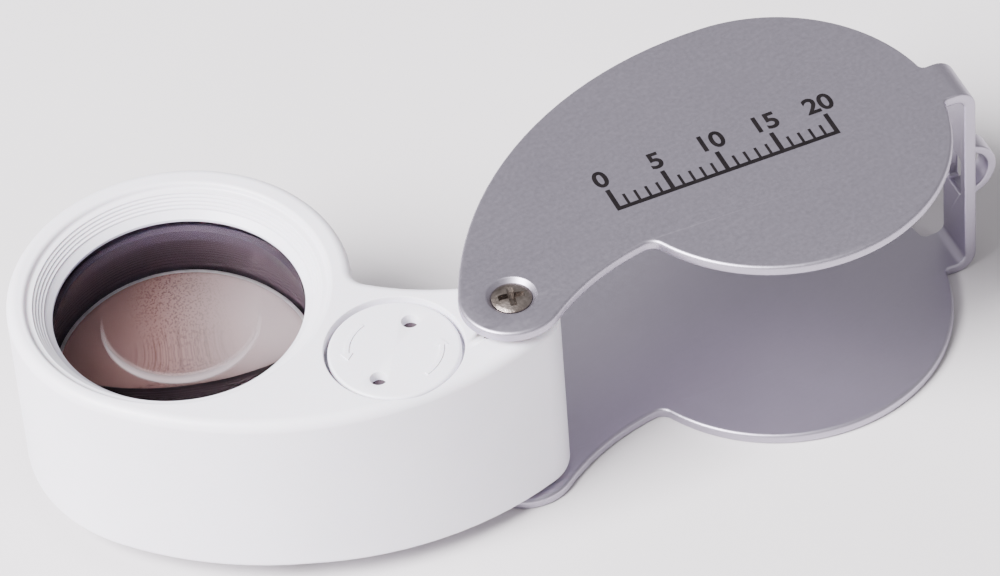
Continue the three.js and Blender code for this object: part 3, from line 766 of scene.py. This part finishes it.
def build_shell():
    contour = outline(BODY)
    rings = fillet_rings(0.6, BODY_BASE, -1) + fillet_rings(0.95, BODY_TOP, 1)
    shell = loft("body_shell_moulding", contour, rings)
    bring_skirt_down(shell)
    hollow = loft("tool", contour, [(WALL, 0), (WALL, 18)])
    sleeves = [rod(13.4, 3.25, 19, LENS_AT), rod(6.1, 7.9, 19, CAP_AT), rod(2.7, PLATE_Z, 19, (0, 0))]
    sleeves += [rod(1.6, 3.25, 19, at) for at in BASE_SCREWS.values()]
    carve(hollow, sleeves)
    seat = [(0, 18.05), (5.8, 18.05), (5.8, BODY_TOP - 0.14), (5.84, BODY_TOP - 0.04), (5.94, BODY_TOP)]
    seat += [(6.2, BODY_TOP + 0.05), (6.2, 22), (0, 22)]
    tools = [
        hollow,
        lathe("tool", mouth_profile(), LENS_AT),
        lathe("tool", seat, CAP_AT),
        rod(5.0, 8.5, 18.1, CAP_AT),
        rod(1.85, 0, 22, (0, 0)),
        block("tool", (1.1, 2.8, 10.55), (CAP_AT[0] - 5, CAP_AT[1], 13.275)),
        block("tool", (0.4, 1.1, 4), (1.65, 2.85, 18)),
    ]
    tools += [rod(0.85, 0, 7.3, at) for at in BASE_SCREWS.values()]
    carve(shell, tools)
    finish_piece(shell, "lens_body", WHITE, ["body_shell"])


BASE_SCREWS = {node: body_centre(node) for node in ("base_screw_head", "base_screw_tail")}
LEDS = dict(led_waist_side=body_centre("led_waist_side"), led_back_side=body_centre("led_back_side"))


def build_base_plate():
    contour = outline(BODY)
    rings = [(inset + WALL + 0.2, z) for inset, z in fillet_rings(0.25, PLATE_Z, -1, 4)]
    plate = loft("base_plate_moulding", contour, rings + [(WALL + 0.2, 3.2)])
    eye = [(0, 0), (11.2, 0), (11.2, PLATE_Z - 0.01), (10.75, PLATE_Z + 0.05)]
    eye += [(10.4, PLATE_Z + 0.4), (10.3, 5), (0, 5)]
    tools = [lathe("tool", eye, LENS_AT), rod(2.9, 0, 5, (0, 0))]
    for at in BASE_SCREWS.values():
        tools += [rod(0.9, 0, 5, at, 32), rod(1.45, 0, 2.45, at, 48)]
    tools += [rod(1.8, 0, 5, at, 48) for at in LEDS.values()]
    carve(plate, tools)
    finish_piece(plate, "lens_body", WHITE, ["base_plate"])


def build_cap():
    """The battery cap, with its two pin holes and two raised arrows; the hole floors are painted dark as
    shade.
    """
    low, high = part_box("battery_cap")
    bottom, top = low.z / MM, high.z / MM
    profile = rounded([(0, bottom, 0), (5.5, bottom, 0.1), (5.5, top, 0.28), (0, top, 0)])
    cap = lathe("battery_cap_moulding", [tuple(p) for p in profile], CAP_AT)
    deep = max(top - 1.1, bottom + 0.12)
    tools = []
    for angle in (-103, 77):
        c, s = math.cos(math.radians(angle)), math.sin(math.radians(angle))
        at = (CAP_AT[0] + 3.4 * c, CAP_AT[1] + 3.4 * s)
        hole = [(0, deep), (0.66, deep), (0.70, top - 0.12), (0.74, top - 0.03), (0.84, top), (0.9, top + 1)]
        tools.append(lathe("tool", hole + [(0, top + 1)], at, 40))
    carve(cap, tools)
    arrows = [arrow_mesh(top, math.radians(angle)) for angle in (-13, 167)]
    carve(cap, arrows, "UNION")
    finish_piece(cap, "turning_cap", [WHITE, DARK], ["battery_cap"])
    # Painted shade: the floors of the pin holes take the dark material, so the holes look deep.
    for face in cap.data.polygons:
        height = face.center.z / MM
        face.material_index = 1 if face.normal.z > 0.9 and abs(height - deep) < 0.01 else 0


def arrow_mesh(top, angle):
    """A raised curved arrow on the cap, without any lettering."""
    r, half, rise = 3.9, 0.17, 0.09
    sweep = math.radians(52)
    steps = 14
    bm = bmesh.new()
    inner, outer = [], []
    for k in range(steps + 1):
        a = angle - sweep / 2 + sweep * k / steps
        inner.append((r - half, a))
        outer.append((r + half, a))
    tip = angle + sweep / 2
    head = [(r + 0.5, tip), (r, tip + math.radians(11)), (r - 0.5, tip)]
    loop = outer + head + inner[::-1]
    low, high = [], []
    for radius, a in loop:
        x, y = CAP_AT[0] + radius * math.cos(a), CAP_AT[1] + radius * math.sin(a)
        low.append(bm.verts.new((x, y, top - 0.1)))
        high.append(bm.verts.new((x, y, top + rise)))
    bridge(bm, [low, high], 0)
    fill(bm, [low])
    fill(bm, [high])
    return new_object("tool", bm, BODY_PLACE)


# ---------- screws and washers ----------


def cross_tools(length, width, depth, at, face, side, spin=0.0):
    """The two tapered bars of a screw's cross; side is +1 where the head faces up."""
    found = []
    for turn in (spin, spin + math.pi / 2):
        c, s = math.cos(turn), math.sin(turn)
        bm = bmesh.new()
        rings = []
        for scale, down in ((1.0, -0.3), (1.0, 0.1), (0.4, depth)):
            ring = []
            for sx, sy in ((1, 1), (-1, 1), (-1, -1), (1, -1)):
                x, y = sx * length / 2 * scale, sy * width / 2 * (0.6 + 0.4 * scale)
                ring.append(bm.verts.new((at[0] + x * c - y * s, at[1] + x * s + y * c, face - side * down)))
            rings.append(ring)
        bridge(bm, rings, 0)
        bm.faces.new(rings[0])
        bm.faces.new(rings[-1])
        found.append(new_object("tool", bm, BODY_PLACE))
    return found


def build_pivot_screw(name, side, turn):
    """Domed head with a cross recess, sunk in a cover plate."""
    face = COVER_H if side > 0 else 0
    corners = [(0, 5.6, 0), (0.85, 5.6, 0), (0.95, 5.4, 0), (0.95, 1.05, 0), (1.66, 0.42, 0.08)]
    corners += [(1.72, 0.3, 0.06), (1.42, 0.16, 0.4), (0.8, 0.02, 0.7), (0, 0.0, 0)]
    profile = [(p[0], face - side * p[1]) for p in rounded(corners)]
    screw = lathe(name, profile, (0, 0), MEDIUM)
    carve(screw, cross_tools(2.2, 0.56, 0.85, (0, 0), face, side, turn))
    finish_piece(screw, "lens_body", SCREW, [name.replace("_turned", "")])


def build_base_screw(node, at):
    low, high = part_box(node)
    z, tip = low.z / MM, high.z / MM
    corners = [(0, z, 0), (0.8, z + 0.03, 0.3), (1.15, z + 0.22, 0.1), (1.15, z + 0.5, 0.05)]
    corners += [(0.6, z + 0.5, 0), (0.6, tip - 0.6, 0), (0, tip, 0)]
    screw = lathe(node + "_turned", [tuple(p) for p in rounded(corners)], at, 40)
    carve(screw, cross_tools(1.5, 0.32, 0.5, at, z, -1))
    finish_piece(screw, "lens_body", SCREW, [node])


def build_washer(node, body, material):
    low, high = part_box(node)
    z, top, outer = low.z / MM, high.z / MM, (high.x - low.x) / (2 * MM)
    corners = [(1.4, z), (outer - 0.07, z), (outer, z + 0.07)]
    corners += [(outer, top - 0.07), (outer - 0.07, top), (1.4, top)]
    finish_piece(lathe(node + "_turned", corners, (0, 0), MEDIUM, closed=True), body, material, [node])


# ---------- optics ----------


def dome(radius, edge_z, sag, count=36):
    curve_r = (radius**2 + sag**2) / (2 * abs(sag))
    found = []
    for i in range(count + 1):
        r = radius * i / count
        drop = curve_r - math.sqrt(curve_r**2 - r**2)
        found.append((r, edge_z + sag - math.copysign(drop, sag)))
    return found


def build_optics():
    eye = dome(10.95, 14.35, -0.75) + dome(10.95, 16.75, 2.07)[::-1]
    eye_lens = lathe("eye_lens_polished", eye, LENS_AT)
    finish_piece(eye_lens, "lens_body", [GLASS, PAINTED_CRESCENT_GLASS, BLACKENED], ["eye_lens"])
    for face in eye_lens.data.polygons:
        # The lower face takes the glass with the painted crescent reflection, and the edge takes the black
        # lacquer.
        side = abs(face.normal.z) < 0.1
        face.material_index = 2 if side else 1 if face.center.z / MM < 14.36 else 0
    rim = [(10.9, 6.52), (10.9, 5.25), (10.7, 5.05)]
    field = dome(10.50, 6.82, 0.93) + rim + [(0, 5.05)]
    low_lens = lathe("field_lens_polished", field, LENS_AT)
    finish_piece(low_lens, "lens_body", [GLASS, DUST_AND_SHADE, GROUND], ["field_lens"])
    # The upper face takes the film of painted shade and painted light, and the rim takes the ground glass.
    for face in low_lens.data.polygons:
        height = face.center.z / MM
        face.material_index = 0 if height < 5.1 else 1 if face.normal.z > 0.93 else 2
    barrel = [(11.1, 3.35), (12.1, 3.35), (12.1, 16.8), (11.1, 16.8)]
    turned = lathe("lens_barrel_turned", barrel, LENS_AT, closed=True)
    finish_piece(turned, "lens_body", DARK, ["lens_barrel"])
    low, high = 7.05, 14.05
    inner = []
    ridges = 18
    for k in range(ridges):
        step = (high - low) / ridges
        z = high - step * k
        r = 10.1 + 0.65 * k / ridges
        inner += [(r, z), (r, z - step * 0.6), (r + 0.1, z - step * 0.75)]
    spacer = inner + [(10.78, low), (10.95, low), (10.95, high)]
    turned = lathe("lens_spacer_turned", spacer, LENS_AT, closed=True)
    finish_piece(turned, "lens_body", DARK, ["lens_spacer"])
    ring = [(9.4, 3.6), (9.55, 3.45), (10.9, 3.45), (10.9, 4.95), (9.55, 4.95), (9.4, 4.8)]
    ring_piece = lathe("retaining_ring_turned", ring, LENS_AT, closed=True)
    slots = [block("tool", (2.2, 1, 1), (LENS_AT[0] + side * 10.15, LENS_AT[1], 3.45)) for side in (-1, 1)]
    carve(ring_piece, slots)
    finish_piece(ring_piece, "lens_body", DARK, ["lens_retaining_ring"])


# ---------- lamps ----------


def build_led(node, at):
    body = [(0, 6.7), (1.85, 6.7), (1.85, 5.9), (1.5, 5.9)]
    tip = [(1.5 * math.cos(a), 3.6 - 1.5 * math.sin(a)) for a in (math.pi / 2 * k / 12 for k in range(13))]
    profile = body + tip[:-1] + [(0, 2.1)]
    finish_piece(lathe(node + "_moulded", profile, at, 48), "lens_body", EPOXY, [node])


def build_print():
    """A printed millimetre scale on the top plate, with a digit at every fifth line."""
    bm = bmesh.new()
    length, major = 20, 5
    slope = math.radians(-14.4)
    place = COVER_PLACE @ Matrix.Translation((12.9, 2.0, COVER_H)) @ Matrix.Rotation(slope, 4, "Z")

    def bar(x0, x1, y0, y1):
        loop = [(x0, y0), (x1, y0), (x1, y1), (x0, y1)]
        low = [bm.verts.new((x, y, 0.0)) for x, y in loop]
        high = [bm.verts.new((x, y, 0.02)) for x, y in loop]
        bridge(bm, [low, high], 0)
        bm.faces.new(low)
        bm.faces.new(high)

    bar(-0.2, length + 0.2, -0.2, 0.2)
    for i in range(length + 1):
        tall = 2.4 if i % major == 0 else 1.4
        half = 0.2 if i % major == 0 else 0.12
        bar(i - half, i + half, 0.2, tall)
    finish_piece(new_object("printed_scale", bm, place), "cover", INK)
    for i in range(0, length + 1, major):
        text = bpy.data.curves.new("digit", "FONT")
        text.body = str(i)
        text.size = 2.6 * MM
        text.align_x = "CENTER"
        text.extrude = 0.01 * MM
        text.offset = 0.06 * MM
        holder = bpy.data.objects.new("digit", text)
        bpy.context.scene.collection.objects.link(holder)
        bpy.context.view_layer.update()
        mesh = bpy.data.meshes.new_from_object(holder.evaluated_get(bpy.context.evaluated_depsgraph_get()))
        bpy.data.objects.remove(holder)
        lift = Matrix.Translation((i, 2.9, 0.01))
        mesh.transform(Matrix.Scale(MM, 4) @ place @ lift @ Matrix.Scale(1 / MM, 4))
        piece = bpy.data.objects.new(f"printed_number_{i}", mesh)
        bpy.context.scene.collection.objects.link(piece)
        finish_piece(piece, "cover", INK)


EPOXY = clear_glass()
EPOXY.name = "clear_epoxy"

build_cover()
build_print()
build_shell()
build_base_plate()
build_cap()
build_pivot_screw("pivot_screw_top_turned", 1, math.radians(20))
build_pivot_screw("pivot_screw_bottom_turned", -1, math.radians(-35))
for node, at in BASE_SCREWS.items():
    build_base_screw(node, at)
build_washer("contact_washer", "cover", BRASS)
build_washer("friction_washer", "lens_body", NYLON)
build_optics()
for node, at in LEDS.items():
    build_led(node, at)

INNER = dict(
    pivot_insert_top=BRASS,
    pivot_insert_bottom=BRASS,
    cap_contact=BRASS,
    battery_side_contact=BRASS,
    switch_leaf=BRASS,
    coin_cell_1=NICKEL,
    coin_cell_2=NICKEL,
    coin_cell_3=NICKEL,
    battery_spring=NICKEL,
    led_board=BOARD,
    switch_wire=WIRE_BLACK,
    battery_wire=WIRE_RED,
)
for node, material in INNER.items():
    mesh_materials = frame["nodes"][node].material_slots
    for holder in mesh_materials:
        holder.material = material

# ---------- studio ----------


def build_camera():
    """The viewing angle of the photograph: 45.5 degrees down, with a slight roll."""
    elevation, roll, azimuth = math.radians(45.47), -0.080856, math.radians(-34.71)
    forward = Vector((0, math.cos(elevation), -math.sin(elevation)))
    up = Vector((0, math.sin(elevation), math.cos(elevation)))
    right = Vector((1, 0, 0))
    c, s = math.cos(roll), math.sin(roll)
    axes = Matrix((c * right + s * up, -s * right + c * up, -forward)).transposed()
    turn = Matrix.Rotation(azimuth, 3, "Z")
    camera = bpy.data.cameras.new("camera")
    camera.lens = 224.31
    camera.sensor_width = 36
    camera.clip_start = 0.01
    camera.clip_end = 20
    holder = bpy.data.objects.new("camera", camera)
    place = (turn @ axes).to_4x4()
    place.translation = Vector((PIVOT.x, 0, 0)) * MM + turn @ Vector((-0.870, -355.87, 383.90)) * MM
    holder.matrix_world = place
    bpy.context.scene.collection.objects.link(holder)
    bpy.context.scene.camera = holder


def area_light(name, at, target, size, power, color=(1, 1, 1)):
    light = bpy.data.lights.new(name, "AREA")
    light.shape = "RECTANGLE"
    light.size, light.size_y = size
    light.energy = power
    light.color = color
    holder = bpy.data.objects.new(name, light)
    holder.location = at
    holder.rotation_euler = (Vector(target) - Vector(at)).to_track_quat("-Z", "Y").to_euler()
    bpy.context.scene.collection.objects.link(holder)


def build_studio():
    bm = bmesh.new()
    bmesh.ops.create_grid(bm, x_segments=1, y_segments=1, size=3000)
    floor = new_object("floor", bm, Matrix.Identity(4))
    paint = Paint("floor_paper", Roughness=0.9)
    grey = [(0.3, (0.67, 0.645, 0.66)), (0.7, (0.70, 0.675, 0.69))]
    paint.set("Base Color", paint.ramp(paint.noise(40, 3), grey))
    floor.data.materials.append(paint.material)
    world = bpy.data.worlds.new("studio")
    bpy.context.scene.world = world
    world.use_nodes = True
    background = world.node_tree.nodes["Background"]
    background.inputs["Color"].default_value = (1.0, 0.985, 1.0, 1)
    background.inputs["Strength"].default_value = 0.5
    area_light("key", (-0.80, 0.06, 0.84), (-0.02, 0.0, 0.01), (0.6, 0.6), 66, (1.0, 0.985, 1.0))


build_camera()
build_studio()
